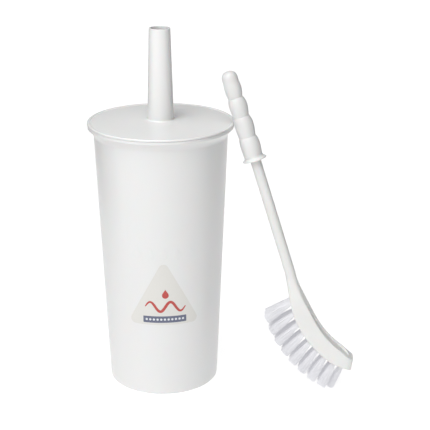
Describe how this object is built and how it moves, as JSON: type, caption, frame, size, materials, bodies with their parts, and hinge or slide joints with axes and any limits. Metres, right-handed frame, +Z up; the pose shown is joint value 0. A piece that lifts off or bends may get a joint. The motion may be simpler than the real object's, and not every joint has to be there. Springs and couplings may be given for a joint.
{
  "type": "toilet brush holder",
  "caption": "Tapered round canister with a lift-off domed lid and hollow grip tube, and a curved-head brush leaning on its brim.",
  "frame": {"origin": "centre of the canister's flat underside, which stands on the floor", "axes": "+Z up along the canister's axis and out through the lid's tube; -Y is the front, with the label; +X is the side that the brush leans on"},
  "size_m": [0.2711, 0.1476, 0.37],
  "materials": {
    "canister_plastic": "moulded white polypropylene, semi-gloss",
    "lid_plastic": "moulded white polypropylene, semi-gloss",
    "label_film": "printed label, satin",
    "grip_plastic": "moulded white plastic, satin",
    "white_moulding": "moulded white polypropylene, satin",
    "bristle_nylon": "translucent white nylon filament",
    "anchor_metal": "stamped metal staple"
  },
  "bodies": {
    "holder": {"canister": "canister_plastic", "label": "label_film"},
    "lid": {"lid": "lid_plastic"},
    "brush": {"brush_grip": "grip_plastic", "brush_handle": "white_moulding", "tuft_1a": "bristle_nylon", "tuft_1b": "bristle_nylon", "tuft_1c": "bristle_nylon", "tuft_2a": "bristle_nylon", "tuft_2b": "bristle_nylon", "tuft_2c": "bristle_nylon", "tuft_3a": "bristle_nylon", "tuft_3b": "bristle_nylon", "tuft_3c": "bristle_nylon", "tuft_4a": "bristle_nylon", "tuft_4b": "bristle_nylon", "tuft_4c": "bristle_nylon", "tuft_5a": "bristle_nylon", "tuft_5b": "bristle_nylon", "tuft_5c": "bristle_nylon", "tuft_6a": "bristle_nylon", "tuft_6b": "bristle_nylon", "tuft_6c": "bristle_nylon", "tuft_7a": "bristle_nylon", "tuft_7b": "bristle_nylon", "tuft_7c": "bristle_nylon", "tuft_8a": "bristle_nylon", "tuft_8b": "bristle_nylon", "tuft_8c": "bristle_nylon", "tuft_9b": "bristle_nylon", "anchor_1a": "anchor_metal", "anchor_1b": "anchor_metal", "anchor_1c": "anchor_metal", "anchor_2a": "anchor_metal", "anchor_2b": "anchor_metal", "anchor_2c": "anchor_metal", "anchor_3a": "anchor_metal", "anchor_3b": "anchor_metal", "anchor_3c": "anchor_metal", "anchor_4a": "anchor_metal", "anchor_4b": "anchor_metal", "anchor_4c": "anchor_metal", "anchor_5a": "anchor_metal", "anchor_5b": "anchor_metal", "anchor_5c": "anchor_metal", "anchor_6a": "anchor_metal", "anchor_6b": "anchor_metal", "anchor_6c": "anchor_metal", "anchor_7a": "anchor_metal", "anchor_7b": "anchor_metal", "anchor_7c": "anchor_metal", "anchor_8a": "anchor_metal", "anchor_8b": "anchor_metal", "anchor_8c": "anchor_metal", "anchor_9b": "anchor_metal"}
  },
  "joints": [
    {"name": "lid_lift", "type": "slide", "parent": "holder", "child": "lid", "axis": [-0.4067, 0, 0.9136], "range_m": [0, 0.15]},
    {"name": "brush_lift", "type": "slide", "parent": "holder", "child": "brush", "axis": [0, 0, 1], "range_m": [0, 0.4]}
  ]
}
